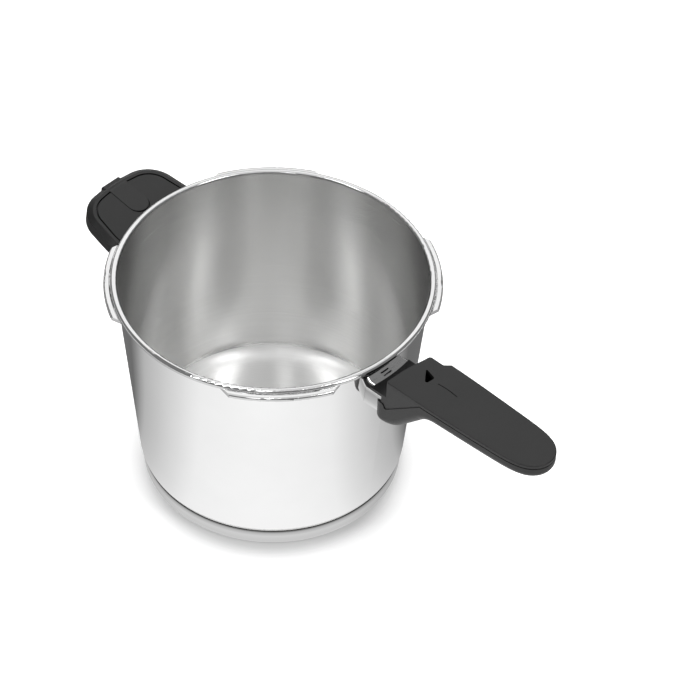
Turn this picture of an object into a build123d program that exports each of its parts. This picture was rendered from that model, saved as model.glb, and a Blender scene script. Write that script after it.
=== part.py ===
from build123d import *
import math
import os

# Pot half of a 22 cm stovetop pressure cooker: a drawn steel pot with a
# bayonet rim and a sandwich base, a long handle and a helper handle.
# Millimetres. The origin is the centre of the sole, +Z is up, and +X runs
# out along the long handle. The helper handle is opposite, along -X.

# ---- driving dimensions: pot ----
WALL_TOP_R = 110.7        # outside of the wall just under the rim
WALL_TOP_Z = 169.5
WALL_SLOPE = 0.0886       # the wall widens by this much for each mm of height
WALL_T = 0.9
FLOOR_T = 1.2
FLOOR_UNDER_Z = 8.0       # underside of the pot's floor, on the base core
BOTTOM_CORNER_R = 15.0
RIM_R = 115.0             # outer edge of the rolled rim
RIM_TOP_Z = 176.7
RIM_UNDER_Z = 172.7
LUG_R = 119.6
LUG_TOP_Z = 174.3
LUG_UNDER_Z = 171.2
LUG_FIRST_ANGLE = 46.6
LUG_OUTER_SPAN = 33.0     # degrees, at the lug's outer edge
LUG_ROOT_SPAN = 42.5      # degrees, where the lug leaves the rim
LUG_COUNT = 4
CAP_R = 95.65             # top edge of the steel base cap
CAP_FOOT_R = 95.0
CAP_TOP_Z = 14.0
CAP_T = 0.9
CAP_EDGE_R = 4.2

# ---- driving dimensions: long handle ----
DECK_TOP_Z = 176.0
DECK_T = 2.6
DECK_GAP = 0.8            # shadow gap between the deck and the body
DECK_TIP_X = 256.0
DECK_NEAR_X = 127.6       # the deck's pot-side edge, at its plain corner
DECK_FAR_X = 132.4        # and beside the notch
GRIP_UNDER_Z = 163.3
GRIP_CURVE_X = 150.0      # where the grip's straight sides start to curve
GRIP_HALF = 21.7          # half width at the broad end of the grip
CORE_HALF = 21.1          # half width of the neck on the side without the notch
NOTCH_HALF = 17.2         # and on the side with the deck's notch
BELLY_UNDER_Z = 132.8
BELLY_RISE_X = 133.1      # where the belly's underside turns up
GRIP_START_X = 163.3      # where it meets the grip's underside
COLLAR_R = 116.9          # the collar's hollow end, round the pot's axis
COLLAR_TOP_Z = 152.6
NECK_R = 115.0
NECK_TOP_Z = 160.3
NECK_FRONT_X = 123.0      # front of the block under the deck
SHELF_T = 2.0             # the neck's lip over the flame guard
SCREW_Z = 149.0
SCREW_SEAT_X = 136.0
SCREW_TIP_X = 113.5
SCREW_HEAD_T = 3.2
WASHER_T = 1.0
SPRING_WASHER_T = 1.2
DECK_SCREW_X = (174.0, 236.0)
DECK_SCREW_SEAT_Z = GRIP_UNDER_Z + 2.0
DECK_SCREW_HEAD_T = 1.5
CAVITY_FLOOR_Z = 166.8
COLLAR_CORNER_R = 7.5
UNDER_ROUND_R = 6.0       # rounding along the handle's lower edges
RECESS_X = 126.0          # pot-side end of the side recesses
RECESS_LOW_Z = 147.6
RECESS_END_X = 158.0      # where they run out under the deck
NECK_LOW_Z = 144.0        # underside of the neck's block over the collar
NECK_LOW_END_X = 140.0
NECK_MID_END_X = 152.0
NECK_HIGH_Z = 166.0
SCREW_RECESS_R = 6.0
LOCK_WELL_Z = 160.5
INSERT_TOP_Z = 172.0

# ---- driving dimensions: flame guard and bracket ----
GUARD_HALF = 20.0
GUARD_TOP_Z = 158.5
GUARD_UNDER_Z = 141.0
GUARD_CORNER_R = 5.0
GUARD_END_X = 124.0
GUARD_T = 0.8
SADDLE_T = 1.5
SLIT_X = 111.2            # vent slit through the guard's top
SLIT_Y = -1.5
SADDLE_LOW_Z = 142.0
SADDLE_HIGH_Z = 156.0
SADDLE_W = 32.0
STUD_R = 5.5
STUD_BORE_R = 2.5

# ---- driving dimensions: helper handle ----
HELPER_TILT = 9.1         # degrees, rising outwards
HELPER_REF_X = 145.0
HELPER_REF_Z = 160.5
HELPER_T = 13.0
SHOULDER_T = 3.0          # height of the sloped shoulder round the top
SHOULDER_OUT = 4.0        # and how far it stands out
HELPER_NEAR_R = 111.6
PANEL_INSET = 3.2
PANEL_GAP = 0.9
PANEL_T = 2.0
BADGE_HALF = 8.2
BADGE_IN = -15.7          # inner round end, measured along the tilted top
BADGE_BEND = 13.0         # where it bends down over the shoulder
BADGE_OUT = 21.6
BADGE_DROP = 9.0          # how far it reaches down the outer end
BADGE_PROUD = 0.35
TAB_Z = 149.5
TAB_T = 2.0
TAB_END_X = 136.0
TAB_HALF = 13.0
HELPER_SCREW_X = 127.0
HELPER_SCREW_Y = (-7.5, 7.5)
HELPER_SEAT_Z = 147.9     # where the screws' washers bear on the body
HELPER_WASHER_T = 1.0
HELPER_HEAD_T = 2.4
HELPER_HEAD_R = 3.6
HELPER_SHANK_R = 2.0
NUT_R = 4.0
NUT_T = 2.4
BADGE_CLEAR = 0.15
BADGE_DEPTH = 3.2         # below the helper's top


DECK_UNDER_Z = DECK_TOP_Z - DECK_T
BODY_TOP_Z = DECK_UNDER_Z - DECK_GAP
TAB_TOP_Z = TAB_Z + TAB_T

os.makedirs("parts", exist_ok=True)


def write(builder, name):
    builder.part.label = name
    export_step(builder.part, f"parts/{name}.step")


def wall_r(z):
    """Outside radius of the pot's wall at height z."""
    return WALL_TOP_R + (z - WALL_TOP_Z) * WALL_SLOPE


def pot_solid_face(top_z):
    """Half section of the pot as if it were solid, up to top_z."""
    with BuildSketch(Plane.XZ) as face:
        with BuildLine():
            FilletPolyline(
                (0, FLOOR_UNDER_Z),
                (wall_r(FLOOR_UNDER_Z), FLOOR_UNDER_Z),
                (wall_r(top_z), top_z),
                (0, top_z),
                radius=[0, BOTTOM_CORNER_R, 0, 0],
                close=True,
            )
        make_face()
    return face.sketch


POT_FACE = pot_solid_face(RIM_UNDER_Z)


# ---- bayonet lugs: four thick tabs, rounded outside, grooved at the rim ----
lug_root_r = RIM_R - 2.2
with BuildPart() as lugs:
    with BuildSketch(Plane.XY.offset(LUG_UNDER_Z - 1)):
        for index in range(LUG_COUNT):
            middle = LUG_FIRST_ANGLE + index * 360 / LUG_COUNT
            with BuildSketch(mode=Mode.ADD) as lug:
                with BuildLine():
                    outer = CenterArc(
                        (0, 0), LUG_R + 1, middle - LUG_OUTER_SPAN / 2, LUG_OUTER_SPAN
                    )
                    inner = CenterArc(
                        (0, 0), lug_root_r, middle - LUG_ROOT_SPAN / 2, LUG_ROOT_SPAN
                    )
                    Line(outer @ 0, inner @ 0)
                    Line(outer @ 1, inner @ 1)
                make_face()
                outer_corners = lug.vertices().sort_by(
                    lambda corner: -math.hypot(corner.X, corner.Y)
                )[0:2]
                fillet(outer_corners, 5.0)
    extrude(amount=10)
    with BuildSketch(Plane.XZ):
        with BuildLine():
            FilletPolyline(
                (lug_root_r - 3, LUG_UNDER_Z),
                (LUG_R, LUG_UNDER_Z),
                (LUG_R, LUG_TOP_Z),
                (lug_root_r - 3, LUG_TOP_Z),
                radius=[0, 0.9, 1.7, 0],
                close=True,
            )
        make_face()
        with Locations((RIM_R + 0.3, LUG_TOP_Z)):
            Circle(0.5, mode=Mode.SUBTRACT)
    revolve(axis=Axis.Z, mode=Mode.INTERSECT)

# ---- pot shell: one drawn sheet with a rolled rim ----
inner_floor_z = FLOOR_UNDER_Z + FLOOR_T
with BuildPart() as pot_shell:
    with BuildSketch(Plane.XZ):
        with BuildLine():
            FilletPolyline(
                (0, FLOOR_UNDER_Z),
                (wall_r(FLOOR_UNDER_Z), FLOOR_UNDER_Z),
                (wall_r(RIM_UNDER_Z), RIM_UNDER_Z),
                (RIM_R, RIM_UNDER_Z),
                (RIM_R, RIM_TOP_Z),
                (wall_r(RIM_TOP_Z) - WALL_T, RIM_TOP_Z),
                (wall_r(inner_floor_z) - WALL_T, inner_floor_z),
                (0, inner_floor_z),
                radius=[0, BOTTOM_CORNER_R, 0.5, 1.5, 2.2, 1.5, 14.0, 0],
                close=True,
            )
        make_face()
    revolve(axis=Axis.Z)
    add(lugs.part)
write(pot_shell, "pot_shell")

# ---- base: an aluminium core sealed by a pressed steel cap ----
with BuildSketch(Plane.XZ) as core_space:
    with BuildLine():
        FilletPolyline(
            (0, CAP_T),
            (CAP_FOOT_R - CAP_T, CAP_T),
            (CAP_R - CAP_T, CAP_TOP_Z + 1),
            (0, CAP_TOP_Z + 1),
            radius=[0, CAP_EDGE_R - CAP_T, 0, 0],
            close=True,
        )
    make_face()

with BuildPart() as base_core:
    revolve(core_space.sketch, axis=Axis.Z)
    with Locations((0, 0, CAP_TOP_Z - 0.6)):
        Cylinder(
            CAP_R + 5,
            5,
            align=(Align.CENTER, Align.CENTER, Align.MIN),
            mode=Mode.SUBTRACT,
        )
    revolve(POT_FACE, axis=Axis.Z, mode=Mode.SUBTRACT)
write(base_core, "base_core")

with BuildPart() as base_cap:
    with BuildSketch(Plane.XZ):
        with BuildLine():
            FilletPolyline(
                (0, 0),
                (CAP_FOOT_R, 0),
                (CAP_R, CAP_TOP_Z),
                (0, CAP_TOP_Z),
                radius=[0, CAP_EDGE_R, 0, 0],
                close=True,
            )
        make_face()
    revolve(axis=Axis.Z)
    revolve(core_space.sketch, axis=Axis.Z, mode=Mode.SUBTRACT)
    revolve(POT_FACE, axis=Axis.Z, mode=Mode.SUBTRACT)
write(base_cap, "base_cap")


# ---- flame guard: a polished steel channel from the wall into the handle ----
def guard_section(half, top_z, corner):
    """Closed outline of the channel, open below, on a plane across X."""
    with BuildSketch(Plane.YZ) as section:
        with BuildLine():
            FilletPolyline(
                (-half, GUARD_UNDER_Z),
                (-half, top_z),
                (half, top_z),
                (half, GUARD_UNDER_Z),
                radius=[0, corner, corner, 0],
                close=True,
            )
        make_face()
    return section.sketch


GUARD_OUTER = guard_section(GUARD_HALF, GUARD_TOP_Z, GUARD_CORNER_R)
GUARD_INNER = guard_section(
    GUARD_HALF - GUARD_T, GUARD_TOP_Z - GUARD_T, GUARD_CORNER_R - GUARD_T
)

with BuildPart() as flame_guard:
    extrude(GUARD_OUTER, amount=GUARD_END_X)
    extrude(GUARD_INNER, amount=GUARD_END_X, mode=Mode.SUBTRACT)
    revolve(POT_FACE, axis=Axis.Z, mode=Mode.SUBTRACT)
    slit_plane = Plane.XY.offset(GUARD_TOP_Z - 3)
    with BuildSketch(slit_plane):
        with Locations((SLIT_X, SLIT_Y)):
            SlotOverall(8.0, 1.3, rotation=90)
    extrude(amount=6, mode=Mode.SUBTRACT)
write(flame_guard, "flame_guard")


# ---- wall brackets: steel saddles welded on the pot's wall ----
def saddle_face(low_z, high_z):
    """Section of a plate that lies on the wall between two heights."""
    with BuildSketch(Plane.XZ) as face:
        with BuildLine():
            Polyline(
                (wall_r(low_z), low_z),
                (wall_r(low_z) + SADDLE_T, low_z),
                (wall_r(high_z) + SADDLE_T, high_z),
                (wall_r(high_z), high_z),
                close=True,
            )
        make_face()
    return face.sketch


with BuildPart() as handle_bracket:
    revolve(saddle_face(SADDLE_LOW_Z, SADDLE_HIGH_Z), axis=Axis.Z)
    with Locations((WALL_TOP_R, 0, SCREW_Z)):
        Box(60, SADDLE_W, 40, mode=Mode.INTERSECT)
write(handle_bracket, "handle_bracket")

with BuildPart() as handle_stud:
    with BuildSketch(Plane.YZ.offset(108)):
        with Locations((0, SCREW_Z)):
            Circle(STUD_R)
            Circle(STUD_BORE_R, mode=Mode.SUBTRACT)
    extrude(amount=GUARD_END_X - 108)
    revolve(POT_FACE, axis=Axis.Z, mode=Mode.SUBTRACT)
    revolve(saddle_face(130.0, 165.0), axis=Axis.Z, mode=Mode.SUBTRACT)
write(handle_stud, "handle_stud")


# ---- long handle: body below, deck on top ----
def grip_edge(side):
    """One long edge of the grip, from its straight start to its tip."""
    Spline(
        (GRIP_CURVE_X, side * GRIP_HALF),
        (190, side * 20.7),
        (222, side * 19.3),
        (238, side * 17.6),
        (248, side * 13.9),
        (254, side * 7.7),
        (DECK_TIP_X, 0),
        tangents=((1, 0), (0, -side)),
    )


def is_under_edge(edge):
    """True for the edges between the handle's underside and its sides."""
    middle = edge @ 0.5
    slope_z = GRIP_UNDER_Z - (GRIP_START_X - middle.X) * math.tan(math.radians(45))
    under_z = min(max(slope_z, BELLY_UNDER_Z), GRIP_UNDER_Z)
    crosses = abs(middle.Y) < 1 and middle.X < 240
    return abs(middle.Z - under_z) < 3.0 and not crosses


def screw_hole(x, y, low_z, high_z, radius):
    """Cut an upright round hole in the part being built."""
    with BuildSketch(Plane.XY.offset(low_z)) as hole:
        with Locations((x, y)):
            Circle(radius)
    extrude(hole.sketch, amount=high_z - low_z, mode=Mode.SUBTRACT)


def neck_plan(near_x, far_x, end_x):
    """Corners of the neck in plan, from its pot-side edge out to end_x."""
    return (
        (near_x, -CORE_HALF),
        (end_x, -CORE_HALF),
        (end_x, NOTCH_HALF),
        (far_x, NOTCH_HALF),
    )


with BuildPart() as handle_body:
    # lower shell, with the belly under the neck
    with BuildSketch(Plane.XZ):
        with BuildLine():
            FilletPolyline(
                (100, BELLY_UNDER_Z),
                (BELLY_RISE_X, BELLY_UNDER_Z),
                (GRIP_START_X, GRIP_UNDER_Z),
                (DECK_TIP_X + 5, GRIP_UNDER_Z),
                (DECK_TIP_X + 5, BODY_TOP_Z),
                (RECESS_END_X, BODY_TOP_Z),
                (RECESS_X, RECESS_LOW_Z),
                (RECESS_X, COLLAR_TOP_Z),
                (100, COLLAR_TOP_Z),
                radius=[0, 25, 18, 0, 0, 0, 1.5, 2.5, 0],
                close=True,
            )
        make_face()
    extrude(amount=40, both=True)
    collar_x = math.sqrt(COLLAR_R**2 - GRIP_HALF**2)
    with BuildSketch(Plane.XY) as plan:
        with BuildLine():
            Line((collar_x, -GRIP_HALF), (GRIP_CURVE_X, -GRIP_HALF))
            ThreePointArc((collar_x, -GRIP_HALF), (COLLAR_R, 0), (collar_x, GRIP_HALF))
            Line((collar_x, GRIP_HALF), (GRIP_CURVE_X, GRIP_HALF))
            grip_edge(1)
            grip_edge(-1)
        make_face()
        fillet(plan.vertices().group_by(Axis.X)[0], COLLAR_CORNER_R)
    extrude(amount=200, mode=Mode.INTERSECT)
    under_edges = [edge for edge in handle_body.edges() if is_under_edge(edge)]
    fillet(under_edges, UNDER_ROUND_R)
    # neck, a little narrower than the shell, up to the deck; each level
    # reaches out only as far as the rising underside leaves it room
    with BuildSketch(Plane.XY.offset(NECK_LOW_Z)):
        with BuildLine():
            Polyline(*neck_plan(NECK_FRONT_X, NECK_FRONT_X, NECK_LOW_END_X), close=True)
        make_face()
    extrude(amount=NECK_TOP_Z - NECK_LOW_Z)
    with BuildSketch(Plane.XY.offset(NECK_TOP_Z - SHELF_T)):
        with BuildLine():
            Polyline(*neck_plan(100, 100, NECK_MID_END_X), close=True)
        make_face()
        Circle(NECK_R, mode=Mode.SUBTRACT)
    extrude(amount=SHELF_T)
    with BuildSketch(Plane.XY.offset(NECK_TOP_Z)):
        with BuildLine():
            Polyline(*neck_plan(DECK_NEAR_X, DECK_FAR_X, NECK_MID_END_X), close=True)
        make_face()
    extrude(amount=BODY_TOP_Z - NECK_TOP_Z)
    with BuildSketch(Plane.XY.offset(NECK_HIGH_Z)):
        with BuildLine():
            Polyline(*neck_plan(DECK_NEAR_X, DECK_FAR_X, RECESS_END_X), close=True)
        make_face()
    extrude(amount=BODY_TOP_Z - NECK_HIGH_Z)
    # socket for the flame guard, open towards the pot
    extrude(GUARD_OUTER, amount=GUARD_END_X, mode=Mode.SUBTRACT)
    # screw hole along the handle, with its recess in the belly's slope
    with BuildSketch(Plane.YZ.offset(GUARD_END_X - 1)):
        with Locations((0, SCREW_Z)):
            Circle(2.8)
    extrude(amount=60, mode=Mode.SUBTRACT)
    with BuildSketch(Plane.YZ.offset(SCREW_SEAT_X)):
        with Locations((0, SCREW_Z)):
            Circle(SCREW_RECESS_R)
    extrude(amount=60, mode=Mode.SUBTRACT)
    # hollow under the deck
    with BuildSketch(Plane.XY.offset(CAVITY_FLOOR_Z)):
        with BuildLine():
            FilletPolyline(
                (166, -16.5),
                (222, -14.8),
                (244, -9.5),
                (244, 9.5),
                (222, 14.8),
                (166, 16.5),
                radius=[3, 20, 5, 5, 20, 3],
                close=True,
            )
        make_face()
    extrude(amount=20, mode=Mode.SUBTRACT)
    # well under the lock hole
    with BuildSketch(Plane.XY.offset(LOCK_WELL_Z)):
        with Locations((144, 0.5)):
            RectangleRounded(15, 17, 3)
    extrude(amount=20, mode=Mode.SUBTRACT)
    for x in DECK_SCREW_X:
        screw_hole(x, 0, GRIP_UNDER_Z - 5, DECK_SCREW_SEAT_Z, 3.9)
        screw_hole(x, 0, GRIP_UNDER_Z - 5, CAVITY_FLOOR_Z + 1, 1.8)
write(handle_body, "handle_body")

with BuildPart() as handle_deck:
    with BuildSketch(Plane.XY.offset(DECK_UNDER_Z)) as deck_outline:
        with BuildLine():
            FilletPolyline(
                (GRIP_CURVE_X, GRIP_HALF),
                (148.6, GRIP_HALF),
                (144.5, 17.8),
                (DECK_FAR_X, 17.8),
                (DECK_NEAR_X + 0.8, -4),
                (DECK_NEAR_X - 0.3, -GRIP_HALF),
                (GRIP_CURVE_X, -GRIP_HALF),
                radius=[1.0, 2.0, 2.2, 60, 1.6],
            )
            grip_edge(1)
            grip_edge(-1)
        make_face()
    extrude(amount=DECK_T)
    top_edges = handle_deck.faces().sort_by(Axis.Z)[-1].edges()
    fillet(top_edges, 0.7)
    # spigot inside the body's top edge, which leaves the shadow gap
    with BuildSketch(Plane.XY.offset(BODY_TOP_Z)):
        with BuildLine():
            FilletPolyline(
                (135.5, -17.0),
                (222, -16.4),
                (246, -10.5),
                (246, 10.5),
                (222, 16.4),
                (135.5, 16.0),
                radius=[2, 40, 7, 7, 40, 2],
                close=True,
            )
        make_face()
    extrude(amount=DECK_GAP)
    for x in DECK_SCREW_X:
        with BuildSketch(Plane.XY.offset(CAVITY_FLOOR_Z)):
            with Locations((x, 0)):
                Circle(5.2)
        extrude(amount=DECK_UNDER_Z - CAVITY_FLOOR_Z)
    for x in DECK_SCREW_X:
        screw_hole(x, 0, CAVITY_FLOOR_Z - 1, INSERT_TOP_Z, 3.0)
    # lock hole for the lid's latch pin
    with BuildSketch(Plane.XY.offset(BODY_TOP_Z - 1)):
        with BuildLine():
            FilletPolyline(
                (138.2, 7.0),
                (148.8, 4.0),
                (147.8, -5.2),
                radius=[0.7, 1.6, 1.4],
                close=True,
            )
        make_face()
    extrude(amount=6, mode=Mode.SUBTRACT)
    # engraved pointer line, outwards from the lock hole
    with BuildSketch(Plane.XY.offset(DECK_TOP_Z - 0.5)):
        with BuildLine():
            pointer = ThreePointArc((154.0, 1.4), (162.7, 1.9), (171.5, 1.1))
        trace(pointer, 0.7)
    extrude(amount=1, mode=Mode.SUBTRACT)
write(handle_deck, "handle_deck")


# ---- fasteners of the long handle ----
head_x = SCREW_SEAT_X + WASHER_T + SPRING_WASHER_T
with BuildPart() as handle_screw:
    under_head = Plane.YZ.offset(head_x)
    with BuildSketch(under_head):
        with Locations((0, SCREW_Z)):
            Circle(4.6)
    extrude(amount=SCREW_HEAD_T)
    fillet(handle_screw.faces().sort_by(Axis.X)[-1].edges(), 1.2)
    with BuildSketch(under_head):
        with Locations((0, SCREW_Z)):
            Circle(STUD_BORE_R)
    extrude(amount=SCREW_TIP_X - head_x)
    with BuildSketch(Plane.YZ.offset(head_x + SCREW_HEAD_T)):
        with Locations((0, SCREW_Z)):
            Rectangle(4.6, 1.0)
            Rectangle(1.0, 4.6)
    extrude(amount=-1.6, mode=Mode.SUBTRACT)
write(handle_screw, "handle_screw")

with BuildPart() as handle_washer:
    with BuildSketch(Plane.YZ.offset(SCREW_SEAT_X)):
        with Locations((0, SCREW_Z)):
            Circle(5.0)
            Circle(2.7, mode=Mode.SUBTRACT)
    extrude(amount=WASHER_T)
write(handle_washer, "handle_washer")

with BuildPart() as handle_spring_washer:
    with BuildSketch(Plane.YZ.offset(SCREW_SEAT_X + WASHER_T)):
        with Locations((0, SCREW_Z)):
            Circle(4.3)
            Circle(2.7, mode=Mode.SUBTRACT)
        with Locations((3.5, SCREW_Z)):
            Rectangle(3.0, 0.5, mode=Mode.SUBTRACT)
    extrude(amount=SPRING_WASHER_T)
write(handle_spring_washer, "handle_spring_washer")

with BuildPart() as deck_inserts:
    for x in DECK_SCREW_X:
        with BuildSketch(Plane.XY.offset(CAVITY_FLOOR_Z)):
            with Locations((x, 0)):
                Circle(3.0)
                Circle(1.5, mode=Mode.SUBTRACT)
        extrude(amount=INSERT_TOP_Z - CAVITY_FLOOR_Z)
write(deck_inserts, "deck_inserts")

with BuildPart() as deck_screws:
    for x in DECK_SCREW_X:
        with BuildSketch(Plane.XY.offset(DECK_SCREW_SEAT_Z - DECK_SCREW_HEAD_T)):
            with Locations((x, 0)):
                Circle(3.0)
        extrude(amount=DECK_SCREW_HEAD_T)
        with BuildSketch(Plane.XY.offset(DECK_SCREW_SEAT_Z)):
            with Locations((x, 0)):
                Circle(1.5)
        extrude(amount=INSERT_TOP_Z - 0.5 - DECK_SCREW_SEAT_Z)
        with BuildSketch(Plane.XY.offset(DECK_SCREW_SEAT_Z - DECK_SCREW_HEAD_T)):
            with Locations((x, 0)):
                Rectangle(3.4, 0.8)
                Rectangle(0.8, 3.4)
        extrude(amount=0.9, mode=Mode.SUBTRACT)
write(deck_screws, "deck_screws")

# ---- helper handle: body, inset panel and blank badge ----
tilt = math.radians(HELPER_TILT)
# The helper is drawn on its tilted top plane; local +X runs outwards.
helper_top = Plane(
    origin=(-HELPER_REF_X, 0, HELPER_REF_Z),
    x_dir=(-math.cos(tilt), 0, math.sin(tilt)),
    z_dir=(math.sin(tilt), 0, math.cos(tilt)),
)


helper_side = Plane(
    origin=helper_top.origin,
    x_dir=helper_top.x_dir,
    z_dir=-helper_top.y_dir,
)


def helper_outline(inset, depth=0):
    """Outline of the helper, drawn in by an inset, at a depth below its top."""
    with BuildSketch(helper_top.offset(-depth)) as outline:
        with BuildLine():
            FilletPolyline(
                (-50, 39.2 - inset),
                (-20, 37.8 - inset),
                (12.6 - inset, 32.8 - inset),
                (16.6 - inset, 0),
                (12.6 - inset, -32.8 + inset),
                (-20, -37.8 + inset),
                (-50, -39.2 + inset),
                radius=[0, 60, 20 - inset, 90, 20 - inset, 60, 0],
                close=True,
            )
        make_face()
    return outline.sketch


def flat_edges(builder, side):
    """Edges of the outermost face along the helper's top normal."""
    flats = [
        face
        for face in builder.faces()
        if face.normal_at().dot(helper_top.z_dir) * side > 0.999
    ]
    flats.sort(key=lambda face: face.center().dot(helper_top.z_dir) * side)
    return flats[-1].edges()


def cut_near_end(radius):
    """Cut the hollow end that faces the pot."""
    with BuildSketch(Plane.XY) as bore:
        Circle(radius)
    extrude(bore.sketch, amount=250, mode=Mode.SUBTRACT)


def badge_strip(grow):
    """Solid strip over the panel and down the outer end, grown by a clearance."""
    half = BADGE_HALF + grow
    under = -BADGE_DEPTH - grow
    with BuildPart() as strip:
        with BuildSketch(helper_side) as profile:
            with BuildLine():
                FilletPolyline(
                    (BADGE_IN - grow, under),
                    (BADGE_IN - grow, BADGE_PROUD),
                    (BADGE_BEND, BADGE_PROUD),
                    (BADGE_OUT, BADGE_PROUD - 3.0),
                    (BADGE_OUT, -BADGE_DROP - grow),
                    (BADGE_OUT - 2.5 - grow, -BADGE_DROP - grow),
                    (BADGE_OUT - 2.5 - grow, under),
                    radius=[0, 0, 6.0, 1.2, 0, 0, 0],
                    close=True,
                )
            make_face()
        extrude(profile.sketch, amount=half, both=True)
        with BuildSketch(helper_top.offset(-20)) as plan:
            with Locations(((BADGE_IN + BADGE_OUT) / 2 + BADGE_HALF, 0)):
                Rectangle(BADGE_OUT - BADGE_IN, half * 2)
            with Locations((BADGE_IN + BADGE_HALF, 0)):
                Circle(half)
        extrude(plan.sketch, amount=40, mode=Mode.INTERSECT)
    return strip.part


BADGE_SOLID = badge_strip(0)
BADGE_SPACE = badge_strip(BADGE_CLEAR)

with BuildPart() as helper_body:
    extrude(helper_outline(-SHOULDER_OUT, SHOULDER_T), amount=SHOULDER_T - HELPER_T)
    fillet(flat_edges(helper_body, -1), 2.0)
    loft(
        [helper_outline(-SHOULDER_OUT, SHOULDER_T), helper_outline(0)],
        ruled=True,
    )
    cut_near_end(HELPER_NEAR_R)
    # recess for the panel, and the channel the badge drops into
    extrude(helper_outline(PANEL_INSET - PANEL_GAP), amount=-PANEL_T, mode=Mode.SUBTRACT)
    add(BADGE_SPACE, mode=Mode.SUBTRACT)
    # slot for the bracket's tab, open towards the pot
    with BuildSketch(Plane.XY.offset(TAB_Z)) as tab_slot:
        with Locations((-TAB_END_X / 2, 0)):
            Rectangle(TAB_END_X, TAB_HALF * 2)
    extrude(tab_slot.sketch, amount=TAB_T, mode=Mode.SUBTRACT)
    for y in HELPER_SCREW_Y:
        screw_hole(-HELPER_SCREW_X, y, 120, HELPER_SEAT_Z, 4.6)
        screw_hole(-HELPER_SCREW_X, y, 120, TAB_TOP_Z + NUT_T + 0.8, HELPER_SHANK_R + 0.3)
        screw_hole(-HELPER_SCREW_X, y, TAB_TOP_Z, TAB_TOP_Z + NUT_T + 0.2, NUT_R + 0.2)
write(helper_body, "helper_body")

with BuildPart() as helper_panel:
    extrude(helper_outline(PANEL_INSET), amount=-PANEL_T)
    fillet(flat_edges(helper_panel, 1), 0.5)
    cut_near_end(HELPER_NEAR_R)
    add(BADGE_SPACE, mode=Mode.SUBTRACT)
    # crescent gap round the badge's inner end
    with BuildSketch(helper_top) as crescent:
        with Locations((BADGE_IN + BADGE_HALF - 1.1, 0)):
            Circle(BADGE_HALF + BADGE_CLEAR)
    extrude(crescent.sketch, amount=-PANEL_T, mode=Mode.SUBTRACT)
write(helper_panel, "helper_panel")

with BuildPart() as helper_badge:
    add(BADGE_SOLID)
write(helper_badge, "helper_badge")

with BuildPart() as helper_bracket:
    revolve(saddle_face(136.0, 154.0), axis=Axis.Z)
    with Locations((-WALL_TOP_R, 0, TAB_Z)):
        Box(60, TAB_HALF * 2, 60, mode=Mode.INTERSECT)
    with BuildSketch(Plane.XY.offset(TAB_Z)):
        with Locations((-TAB_END_X / 2 - 45, 0)):
            Rectangle(TAB_END_X - 90, TAB_HALF * 2)
    extrude(amount=TAB_T)
    revolve(POT_FACE, axis=Axis.Z, mode=Mode.SUBTRACT)
    for y in HELPER_SCREW_Y:
        screw_hole(-HELPER_SCREW_X, y, TAB_Z - 1, TAB_TOP_Z + 1, HELPER_SHANK_R)
write(helper_bracket, "helper_bracket")

washer_under_z = HELPER_SEAT_Z - HELPER_WASHER_T
with BuildPart() as helper_screws:
    for y in HELPER_SCREW_Y:
        with BuildSketch(Plane.XY.offset(washer_under_z)) as head:
            with Locations((-HELPER_SCREW_X, y)):
                Circle(HELPER_HEAD_R)
        extrude(head.sketch, amount=-HELPER_HEAD_T)
        with BuildSketch(Plane.XY.offset(washer_under_z)) as shank:
            with Locations((-HELPER_SCREW_X, y)):
                Circle(HELPER_SHANK_R)
        extrude(shank.sketch, amount=TAB_TOP_Z + NUT_T + 0.6 - washer_under_z)
        with BuildSketch(Plane.XY.offset(washer_under_z - HELPER_HEAD_T)) as drive:
            with Locations((-HELPER_SCREW_X, y)):
                Rectangle(4.2, 0.9)
                Rectangle(0.9, 4.2)
        extrude(drive.sketch, amount=1.3, mode=Mode.SUBTRACT)
write(helper_screws, "helper_screws")

with BuildPart() as helper_washers:
    for y in HELPER_SCREW_Y:
        with BuildSketch(Plane.XY.offset(washer_under_z)) as ring:
            with Locations((-HELPER_SCREW_X, y)):
                Circle(4.4)
                Circle(HELPER_SHANK_R + 0.2, mode=Mode.SUBTRACT)
        extrude(ring.sketch, amount=HELPER_WASHER_T)
write(helper_washers, "helper_washers")

with BuildPart() as helper_nuts:
    for y in HELPER_SCREW_Y:
        with BuildSketch(Plane.XY.offset(TAB_TOP_Z)) as nut:
            with Locations((-HELPER_SCREW_X, y)):
                RegularPolygon(NUT_R, 6)
                Circle(HELPER_SHANK_R, mode=Mode.SUBTRACT)
        extrude(nut.sketch, amount=NUT_T)
write(helper_nuts, "helper_nuts")
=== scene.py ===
import math

import bpy
from mathutils import Matrix, Vector

# Studio scene for the pot half of a stovetop pressure cooker.
# Metres. The pot stands on the floor at the origin, the long handle along +X.

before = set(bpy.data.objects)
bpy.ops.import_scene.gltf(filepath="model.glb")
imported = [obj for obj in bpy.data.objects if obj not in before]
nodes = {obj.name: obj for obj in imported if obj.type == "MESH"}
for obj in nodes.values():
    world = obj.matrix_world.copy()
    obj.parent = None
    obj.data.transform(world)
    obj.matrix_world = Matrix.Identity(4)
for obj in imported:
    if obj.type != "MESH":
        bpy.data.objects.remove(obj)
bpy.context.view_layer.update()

# ---- camera: seen from the front right of the long handle, well above ----
CAMERA_AZIMUTH = math.radians(43.7)
CAMERA_ELEVATION = math.radians(43.18)
CAMERA_DISTANCE = 2.134
CAMERA_LENS = 155.9
AIM_RIGHT = math.radians(1.458)      # the mouth sits left of the middle
AIM_DOWN = math.radians(1.35)        # and above it
CAMERA_ROLL = math.radians(-0.52)
MOUTH_CENTRE = Vector((0, 0, 0.1745))

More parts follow.
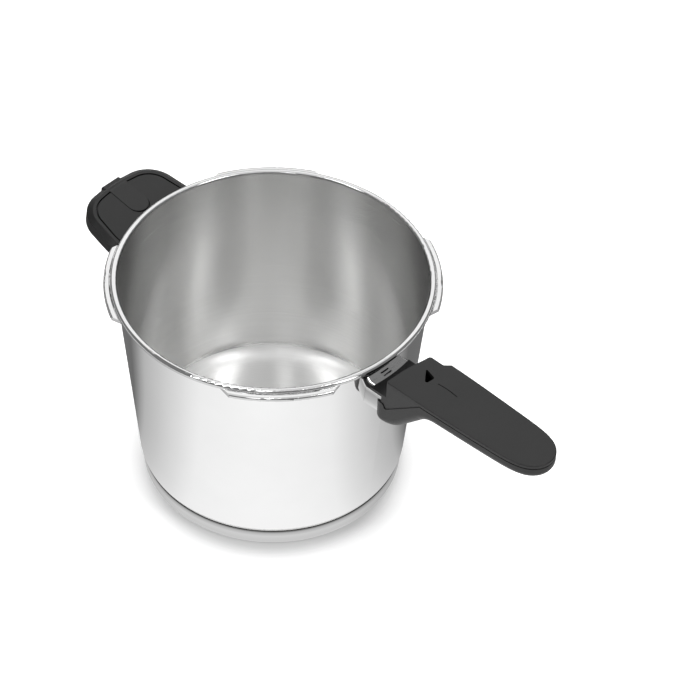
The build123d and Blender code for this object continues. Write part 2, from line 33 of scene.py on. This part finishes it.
# ---- places on the pot, as the CAD has them ----
WALL_SLOPE = 0.0886                  # growth of the wall's radius with height
WALL_MIDDLE_R = 0.09525              # middle of the wall's thickness, carried to z = 0
BRUSHED_TOP_Z = 0.1745               # the brushing ends where the rim rolls over
RIM_FROM_Z = 0.1709                  # rim and lugs lie above this
INNER_FLOOR_TOP_Z = 0.016            # the pot's floor and fillet lie below this
UNDERSIDE_Z = 0.0006                 # the sole's flat underside lies below this
GUARD_UNDER_Z = 0.141
GUARD_INNER_HALF = 0.0194
GUARD_INNER_TOP_Z = 0.1579

# ---- floor, sweep and world ----
FLOOR_HALF = 6.0
FLOOR_GLOW = 0.7
SHADOW_FORWARD = 0.010               # shift of the contact shadow to the camera's side
SHADOW_DARK_R = 0.075                # darkest within this radius
SHADOW_FADE = 15.0                   # one over the width of its edge
SWEEP_RINGS = (0.092, 0.25, 1.2)
SWEEP_STEPS = 72
SWEEP_Z = 0.0004
SWEEP_TURN = math.radians(5)         # bright side, turned clockwise from the camera
WORLD_STRENGTH = 0.27


def direction(azimuth, elevation):
    """Unit vector from the origin towards a viewer at that azimuth."""
    return Vector((math.sin(azimuth) * math.cos(elevation),
                   -math.cos(azimuth) * math.cos(elevation),
                   math.sin(elevation)))


# ---- node helpers ----
class Shader:
    """A material's node tree with short ways to add what it needs."""

    def __init__(self, name):
        self.material = bpy.data.materials.new(name)
        self.material.use_nodes = True
        self.tree = self.material.node_tree
        self.surface = self.tree.nodes["Principled BSDF"]
        self.place = self.add("ShaderNodeTexCoord").outputs["Object"]

    def add(self, kind, **settings):
        """New node of that kind, with its properties set."""
        node = self.tree.nodes.new(kind)
        for key, value in settings.items():
            setattr(node, key, value)
        return node

    def link(self, out, into):
        self.tree.links.new(out, into)

    def set(self, **values):
        """Sets sockets of the Principled shader, as base_color=..."""
        for key, value in values.items():
            socket = self.surface.inputs[key.replace("_", " ").title()]
            socket.default_value = value

    def math(self, operation, a, b=0.0):
        """Result of a math node; a and b are numbers or sockets."""
        node = self.add("ShaderNodeMath", operation=operation)
        for socket, value in zip(node.inputs, (a, b)):
            if isinstance(value, (int, float)):
                socket.default_value = value
            else:
                self.link(value, socket)
        return node.outputs[0]

    def noise(self, scale, detail=4.0, rough=0.5, place=None):
        """Noise from 0 to 1, in object space unless a place is given."""
        node = self.add("ShaderNodeTexNoise")
        node.inputs["Scale"].default_value = scale
        node.inputs["Detail"].default_value = detail
        node.inputs["Roughness"].default_value = rough
        self.link(self.place if place is None else place, node.inputs["Vector"])
        return node.outputs["Fac"]

    def ramp(self, value, *stops):
        """Colour ramp whose stops are (position, grey or colour)."""
        node = self.add("ShaderNodeValToRGB")
        points = node.color_ramp.elements
        while len(points) < len(stops):
            points.new(0.5)
        for point, (position, colour) in zip(points, stops):
            point.position = position
            if isinstance(colour, (int, float)):
                colour = (colour, colour, colour)
            point.color = (*colour, 1)
        self.link(value, node.inputs["Fac"])
        return node.outputs["Color"]

    def blend(self, amount, first, second):
        """Colour that turns from first to second as amount goes to 1."""
        node = self.add("ShaderNodeMix", data_type="RGBA")
        for socket, value in zip((node.inputs[0], node.inputs[6], node.inputs[7]),
                                 (amount, first, second)):
            self.link(value, socket)
        return node.outputs[2]

    def bump(self, height, distance, strength):
        """Relief of the surface, as deep as distance in metres."""
        node = self.add("ShaderNodeBump")
        node.inputs["Distance"].default_value = distance
        node.inputs["Strength"].default_value = strength
        self.link(height, node.inputs["Height"])
        self.link(node.outputs["Normal"], self.surface.inputs["Normal"])

    def axis_parts(self):
        """Radius from the pot's axis, angle round it and height."""
        split = self.add("ShaderNodeSeparateXYZ")
        self.link(self.place, split.inputs[0])
        x, y, z = split.outputs
        radius = self.math("SQRT", self.math("ADD", self.math("MULTIPLY", x, x),
                                             self.math("MULTIPLY", y, y)))
        angle = self.math("ARCTAN2", y, x)
        return radius, angle, z

    def ring_place(self, radius_scale, angle_scale, height_scale):
        """Coordinates that run round the axis, stretched for brushed marks."""
        radius, angle, height = self.axis_parts()
        join = self.add("ShaderNodeCombineXYZ")
        self.link(self.math("MULTIPLY", radius, radius_scale), join.inputs[0])
        self.link(self.math("MULTIPLY", angle, angle_scale), join.inputs[1])
        self.link(self.math("MULTIPLY", height, height_scale), join.inputs[2])
        return join.outputs[0]


# ---- materials ----
def pot_steel():
    """Mirror-polished outside and brushed in rings inside; the rolled top and the lugs are a
    darker grey of the same steel, which is painted shade.
    """
    s = Shader("pot_steel")
    s.set(metallic=1.0)
    radius, _, height = s.axis_parts()
    # the inner wall lies inside this cone, which follows the wall's middle
    wall_middle = s.math("ADD", s.math("MULTIPLY", height, WALL_SLOPE), WALL_MIDDLE_R)
    inside = s.math("MULTIPLY", s.math("LESS_THAN", radius, wall_middle),
                    s.math("LESS_THAN", height, BRUSHED_TOP_Z))
    at_floor = s.math("LESS_THAN", height, INNER_FLOOR_TOP_Z)
    at_rim = s.math("GREATER_THAN", height, RIM_FROM_Z)
    brushed = s.noise(1.0, 6.0, 0.7, s.ring_place(1300.0, 0.8, 1300.0))
    smudges = s.noise(14.0, 3.0, 0.6)
    wall_rough = s.ramp(brushed, (0.3, 0.235), (0.7, 0.275))
    inner_rough = s.math("ADD", wall_rough, s.math("MULTIPLY", at_floor, 0.17))
    outer_rough = s.ramp(smudges, (0.35, 0.035), (0.7, 0.075))
    rough = s.add("ShaderNodeMix", data_type="FLOAT")
    s.link(inside, rough.inputs[0])
    s.link(outer_rough, rough.inputs[2])
    s.link(inner_rough, rough.inputs[3])
    s.link(rough.outputs[0], s.surface.inputs["Roughness"])
    tone = s.ramp(brushed, (0.25, (0.73, 0.73, 0.725)), (0.75, (0.83, 0.83, 0.825)))
    polished = s.ramp(smudges, (0.3, (0.83, 0.83, 0.83)), (0.7, (0.86, 0.86, 0.86)))
    # painted shade: the rim and lugs get a darker grey than the polished wall
    rim_painted_shade = s.ramp(smudges, (0.3, 0.60), (0.7, 0.66))
    outside = s.blend(at_rim, polished, rim_painted_shade)
    s.link(s.blend(inside, outside, tone), s.surface.inputs["Base Color"])
    s.surface.inputs["Anisotropic"].default_value = 0.75
    s.surface.inputs["Anisotropic Rotation"].default_value = 0.25
    around = s.add("ShaderNodeTangent", direction_type="RADIAL", axis="Z")
    s.link(around.outputs[0], s.surface.inputs["Tangent"])
    marks = s.math("MULTIPLY", brushed, inside)
    s.bump(marks, 0.000002, 0.1)
    return s.material


def sole_steel():
    """Polished steel with its side painted darker by height as painted shade, darkest at the
    groove above, and turning rings underneath.
    """
    s = Shader("sole_steel")
    s.set(metallic=1.0)
    _, _, height = s.axis_parts()
    under = s.math("LESS_THAN", height, UNDERSIDE_Z)
    rings = s.noise(1.0, 4.0, 0.6, s.ring_place(2600.0, 0.6, 300.0))
    turned = s.math("MULTIPLY", rings, under)
    rough = s.math("ADD", s.math("MULTIPLY", turned, 0.35), 0.06)
    s.link(rough, s.surface.inputs["Roughness"])
    # painted shade: the cap's side is darker than the polished wall and darkest just under
    # the groove
    edge_painted_shade = s.ramp(s.math("MULTIPLY", height, 50.0), (0.05, 0.50), (0.45, 0.58),
                  (0.62, 0.42), (0.69, 0.16))
    sole = s.ramp(rings, (0.3, 0.62), (0.7, 0.74))
    s.link(s.blend(under, edge_painted_shade, sole), s.surface.inputs["Base Color"])
    s.bump(turned, 0.00002, 0.6)
    return s.material


def bright_steel(name, rough, grain):
    """Bright steel of the brackets and fasteners."""
    s = Shader(name)
    s.set(metallic=1.0)
    marks = s.noise(grain, 5.0, 0.6)
    s.link(s.ramp(marks, (0.3, rough), (0.7, rough * 1.8)), s.surface.inputs["Roughness"])
    s.link(s.ramp(marks, (0.3, 0.70), (0.7, 0.80)), s.surface.inputs["Base Color"])
    s.bump(marks, 0.00001, 0.2)
    return s.material


def guard_steel():
    """Outside banded light and dark by height as painted reflection, and near-black inside
    the U as painted shade.
    """
    s = Shader("guard_steel")
    s.set(metallic=1.0)
    split = s.add("ShaderNodeSeparateXYZ")
    s.link(s.place, split.inputs[0])
    _, across, height = split.outputs
    # the inside of the U, which gets painted shade and a rougher finish
    within = s.math("MULTIPLY",
                    s.math("LESS_THAN", s.math("ABSOLUTE", across), GUARD_INNER_HALF),
                    s.math("LESS_THAN", height, GUARD_INNER_TOP_Z))
    marks = s.noise(40.0, 5.0, 0.6)
    level = s.math("MULTIPLY", s.math("SUBTRACT", height, GUARD_UNDER_Z), 57.0)
    # painted reflection: light and dark bands by height on the outer faces
    side = s.ramp(level, (0.0, 0.72), (0.25, 0.50), (0.70, 0.34), (0.90, 0.74), (1.0, 0.78))
    # painted shade: near-black inside the U
    channel_painted_shade = s.ramp(marks, (0.3, 0.05), (0.7, 0.08))
    s.link(s.blend(within, side, channel_painted_shade), s.surface.inputs["Base Color"])
    s.link(s.math("ADD", s.math("MULTIPLY", within, 0.5), 0.07),
           s.surface.inputs["Roughness"])
    s.bump(marks, 0.00001, 0.2)
    return s.material


def cast_aluminium():
    """Dull cast plate of the base core."""
    s = Shader("cast_aluminium")
    s.set(metallic=1.0)
    grain = s.noise(900.0, 4.0, 0.6)
    s.link(s.ramp(grain, (0.3, 0.58), (0.7, 0.72)), s.surface.inputs["Base Color"])
    s.link(s.ramp(grain, (0.3, 0.35), (0.7, 0.5)), s.surface.inputs["Roughness"])
    s.bump(grain, 0.00003, 0.4)
    return s.material


def knurled_brass():
    """Brass of the threaded inserts."""
    s = Shader("knurled_brass")
    s.set(metallic=1.0)
    knurl = s.noise(1600.0, 2.0, 0.4)
    s.link(s.ramp(knurl, (0.3, (0.55, 0.38, 0.13)), (0.7, (0.72, 0.54, 0.24))),
           s.surface.inputs["Base Color"])
    s.link(s.ramp(knurl, (0.3, 0.22), (0.7, 0.36)), s.surface.inputs["Roughness"])
    s.bump(knurl, 0.00005, 0.5)
    return s.material


def phenolic(name, dark, light, rough, grain_depth):
    """Black moulded phenolic with a fine spark-eroded grain."""
    s = Shader(name)
    grain = s.noise(1500.0, 3.0, 0.55)
    cloud = s.noise(22.0, 4.0, 0.6)
    s.link(s.ramp(cloud, (0.3, dark), (0.7, light)), s.surface.inputs["Base Color"])
    s.link(s.ramp(grain, (0.3, rough - 0.05), (0.7, rough + 0.07)),
           s.surface.inputs["Roughness"])
    s.surface.inputs["Specular IOR Level"].default_value = 0.4
    s.bump(grain, grain_depth, 0.5)
    return s.material


def floor_paint():
    """White floor with a soft contact shadow under the pot."""
    s = Shader("floor_paint")
    from_middle = s.add("ShaderNodeVectorMath", operation="SUBTRACT")
    s.link(s.place, from_middle.inputs[0])
    from_middle.inputs[1].default_value = direction(CAMERA_AZIMUTH, 0) * SHADOW_FORWARD
    length = s.add("ShaderNodeVectorMath", operation="LENGTH")
    s.link(from_middle.outputs[0], length.inputs[0])
    past_dark = s.math("SUBTRACT", length.outputs["Value"], SHADOW_DARK_R)
    near = s.math("MULTIPLY", past_dark, SHADOW_FADE)
    shade = s.ramp(near, (0.0, 0.28), (0.20, 0.42), (0.36, 0.68), (0.6, 0.88), (0.95, 0.97))
    s.link(shade, s.surface.inputs["Base Color"])
    s.link(shade, s.surface.inputs["Emission Color"])
    s.surface.inputs["Emission Strength"].default_value = FLOOR_GLOW
    s.set(roughness=0.9)
    return s.material


def sweep_glow():
    """Brightest on the camera's side of the pot and dark behind it.

    It is fixed in the room, so the polished wall is dark when seen from behind.
    """
    s = Shader("sweep_glow")
    _, angle, _ = s.axis_parts()
    bright_way = CAMERA_AZIMUTH - math.pi / 2 - SWEEP_TURN
    off = s.math("SUBTRACT", angle, bright_way)
    facing = s.math("ADD", s.math("MULTIPLY", s.math("COSINE", off), 0.5), 0.5)
    glow = s.ramp(facing, (0.37, 0.15), (0.43, 0.26), (0.526, 0.50), (0.655, 0.63),
                  (0.794, 0.82), (0.883, 0.98), (1.0, 1.05))
    s.link(glow, s.surface.inputs["Emission Color"])
    s.surface.inputs["Emission Strength"].default_value = 1.0
    s.set(base_color=(0, 0, 0, 1), roughness=1.0)
    return s.material


def dress(material, *names):
    """Gives the named nodes this one material."""
    for name in names:
        slots = nodes[name].data.materials
        slots.clear()
        slots.append(material)


dress(pot_steel(), "pot_shell")
dress(sole_steel(), "base_cap")
dress(cast_aluminium(), "base_core")
dress(guard_steel(), "flame_guard")
dress(bright_steel("bracket_steel", 0.22, 260.0),
      "handle_bracket", "handle_stud", "helper_bracket")
dress(bright_steel("fastener_steel", 0.18, 500.0),
      "handle_screw", "handle_washer", "handle_spring_washer", "deck_screws",
      "helper_screws", "helper_washers", "helper_nuts")
dress(knurled_brass(), "deck_inserts")
dress(phenolic("handle_phenolic", 0.008, 0.012, 0.36, 0.00003),
      "handle_body", "helper_body")
dress(phenolic("deck_phenolic", 0.012, 0.016, 0.44, 0.00005), "handle_deck")
dress(phenolic("panel_phenolic", 0.009, 0.012, 0.42, 0.00005), "helper_panel")
dress(phenolic("badge_phenolic", 0.010, 0.013, 0.38, 0.00002), "helper_badge")


# ---- floor, light and camera ----
def add_floor():
    """Square floor at the sole's height."""
    half = FLOOR_HALF
    corners = [(-half, -half, 0), (half, -half, 0), (half, half, 0), (-half, half, 0)]
    mesh = bpy.data.meshes.new("floor")
    mesh.from_pydata(corners, [], [(0, 1, 2, 3)])
    floor = bpy.data.objects.new("floor", mesh)
    bpy.context.scene.collection.objects.link(floor)
    mesh.materials.append(floor_paint())


def add_softbox(name, azimuth, elevation, distance, size, watts):
    """Area light that faces the pot; azimuth counts from the camera's own."""
    lamp = bpy.data.lights.new(name, "AREA")
    lamp.shape = "RECTANGLE"
    lamp.size, lamp.size_y = size
    lamp.energy = watts
    box = bpy.data.objects.new(name, lamp)
    toward = direction(CAMERA_AZIMUTH + math.radians(azimuth), math.radians(elevation))
    box.location = toward * distance
    box.rotation_euler = toward.to_track_quat("Z", "Y").to_euler()
    bpy.context.scene.collection.objects.link(box)


def add_world():
    """Even white surroundings."""
    world = bpy.data.worlds.new("studio")
    world.use_nodes = True
    world.node_tree.nodes["Background"].inputs["Color"].default_value = (1, 1, 1, 1)
    world.node_tree.nodes["Background"].inputs["Strength"].default_value = WORLD_STRENGTH
    bpy.context.scene.world = world


def add_sweep():
    """Glowing disc just above the floor that shows only in reflections."""
    steps = SWEEP_STEPS
    turns = [math.tau * step / steps for step in range(steps)]
    points = [(r * math.cos(t), r * math.sin(t), SWEEP_Z) for r in SWEEP_RINGS for t in turns]
    faces = []
    for ring in range(len(SWEEP_RINGS) - 1):
        for step in range(steps):
            here, there = ring * steps + step, ring * steps + (step + 1) % steps
            faces.append((here, here + steps, there + steps, there))
    mesh = bpy.data.meshes.new("sweep")
    mesh.from_pydata(points, [], faces)
    sweep = bpy.data.objects.new("sweep", mesh)
    bpy.context.scene.collection.objects.link(sweep)
    mesh.materials.append(sweep_glow())
    sweep.visible_camera = False
    sweep.visible_shadow = False
    sweep.visible_diffuse = False


def add_camera():
    """Camera aimed a little right of the mouth's centre and below it."""
    lens = bpy.data.cameras.new("camera")
    lens.sensor_width = 36.0
    lens.lens = CAMERA_LENS
    lens.clip_end = 50.0
    camera = bpy.data.objects.new("camera", lens)
    back = direction(CAMERA_AZIMUTH, CAMERA_ELEVATION)
    facing = back.to_track_quat("Z", "Y").to_matrix()
    aim = (Matrix.Rotation(-AIM_RIGHT, 3, "Y") @ Matrix.Rotation(-AIM_DOWN, 3, "X")
           @ Matrix.Rotation(-CAMERA_ROLL, 3, "Z"))
    camera.matrix_world = (Matrix.Translation(MOUTH_CENTRE + back * CAMERA_DISTANCE)
                           @ (facing @ aim).to_4x4())
    bpy.context.scene.collection.objects.link(camera)
    bpy.context.scene.camera = camera


add_floor()
add_world()
add_softbox("back", 178, 44, 2.2, (2.6, 1.3), 12)
add_softbox("top", 0, 88, 2.4, (2.6, 2.6), 15)
add_softbox("strip_right", 50, 50, 2.2, (0.34, 1.6), 10.5)
add_softbox("strip_left", -60, 50, 2.2, (0.34, 1.6), 9.5)
add_softbox("strip_front", -12, 52, 2.2, (0.24, 1.2), 1.6)
add_sweep()
add_camera()

# a plain display curve keeps the floor pure white
bpy.context.scene.view_settings.view_transform = "Standard"
